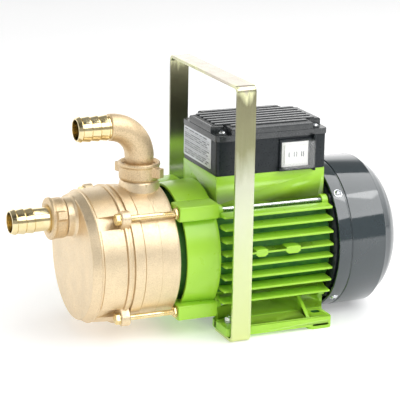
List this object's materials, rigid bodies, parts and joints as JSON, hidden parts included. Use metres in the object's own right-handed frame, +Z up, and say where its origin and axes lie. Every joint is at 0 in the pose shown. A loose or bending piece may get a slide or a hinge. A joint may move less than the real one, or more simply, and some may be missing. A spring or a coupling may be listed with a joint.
{
  "type": "shallow well jet pump",
  "caption": "Brass self-priming water pump end with barbed inlet and outlet hose tails, bolted to a green finned electric motor with a black fan cover, switch box and strap handle.",
  "frame": {"origin": "under the middle of the pump's length and width, on the surface that it stands on", "axes": "+X along the pump axis towards the fan, +Z up; the inlet hose tail is at -X and the switch is on the -Y side"},
  "size_m": [0.396, 0.1708, 0.2586],
  "materials": {
    "cast_brass": "sand-cast brass, bead blasted, fine grain, satin",
    "machined_brass": "turned brass, polished",
    "yellow_zinc": "yellow passivated zinc on steel, slightly iridescent",
    "bright_zinc": "bright zinc on steel",
    "steel": "ground steel",
    "ceramic": "lapped ceramic",
    "copper": "varnished copper winding",
    "rubber": "moulded black rubber",
    "resin": "glass-filled moulded resin",
    "green_paint": "lime green gloss enamel over aluminium die castings",
    "black_gloss": "high gloss black",
    "black_satin": "satin black moulded plastic",
    "clear_cover": "clear flexible splash cover",
    "white_plastic": "white moulded plastic",
    "label": "silver foil rating plate with plain grey lines"
  },
  "bodies": {
    "pump_body": {"front_cover": "cast_brass", "rear_casing": "cast_brass", "suction_hose_tail": "machined_brass", "jet_nozzle": "machined_brass", "casing_bolt_1": "yellow_zinc", "casing_bolt_2": "yellow_zinc", "casing_bolt_3": "yellow_zinc", "casing_bolt_4": "yellow_zinc", "handle_strap": "yellow_zinc", "motor_tie_rod_1": "bright_zinc", "motor_tie_rod_2": "bright_zinc", "motor_tie_rod_3": "bright_zinc", "motor_tie_rod_4": "bright_zinc", "cover_screw_1": "bright_zinc", "cover_screw_2": "bright_zinc", "cover_screw_3": "bright_zinc", "cover_screw_4": "bright_zinc", "lid_screw_1": "bright_zinc", "lid_screw_2": "bright_zinc", "lid_screw_3": "bright_zinc", "lid_screw_4": "bright_zinc", "handle_bolt_1": "bright_zinc", "handle_bolt_2": "bright_zinc", "handle_nut_1": "bright_zinc", "handle_nut_2": "bright_zinc", "front_bearing": "steel", "rear_bearing": "steel", "stator_core": "steel", "seal_seat": "ceramic", "front_winding": "copper", "rear_winding": "copper", "suction_gasket": "rubber", "discharge_gasket": "rubber", "lid_gasket": "rubber", "venturi_tube": "resin", "diffuser": "resin", "motor_bracket": "green_paint", "motor_housing": "green_paint", "fan_cover": "black_gloss", "rear_shield": "black_satin", "terminal_box": "black_satin", "box_lid": "black_satin", "capacitor": "black_satin", "cable_gland": "black_satin", "switch_frame": "black_satin", "splash_cover": "clear_cover", "terminal_block": "white_plastic", "nameplate": "label"},
    "rotor": {"shaft": "steel", "rotor_core": "steel", "impeller": "machined_brass", "impeller_nut": "steel", "seal_head": "steel", "cooling_fan": "resin"},
    "switch_rocker": {"rocker": "white_plastic"},
    "outlet_elbow": {"discharge_elbow": "cast_brass"},
    "outlet_nut": {"discharge_nut": "cast_brass"},
    "inlet_nut": {"suction_nut": "cast_brass"}
  },
  "joints": [
    {"name": "shaft_spin", "type": "hinge", "parent": "pump_body", "child": "rotor", "pos_m": [0.04, 0, 0.079], "axis": [1, 0, 0], "continuous": true},
    {"name": "switch_rock", "type": "hinge", "parent": "pump_body", "child": "switch_rocker", "pos_m": [0.086, -0.042, 0.1764], "axis": [0, 0, 1], "range_deg": [-12, 12]},
    {"name": "elbow_swivel", "type": "hinge", "parent": "pump_body", "child": "outlet_elbow", "pos_m": [-0.0638, 0, 0.165], "axis": [0, 0, 1], "range_deg": [-135, 135]},
    {"name": "outlet_nut_turn", "type": "hinge", "parent": "pump_body", "child": "outlet_nut", "pos_m": [-0.0638, 0, 0.162], "axis": [0, 0, 1], "continuous": true},
    {"name": "inlet_nut_turn", "type": "hinge", "parent": "pump_body", "child": "inlet_nut", "pos_m": [-0.151, 0, 0.121], "axis": [1, 0, 0], "continuous": true}
  ]
}
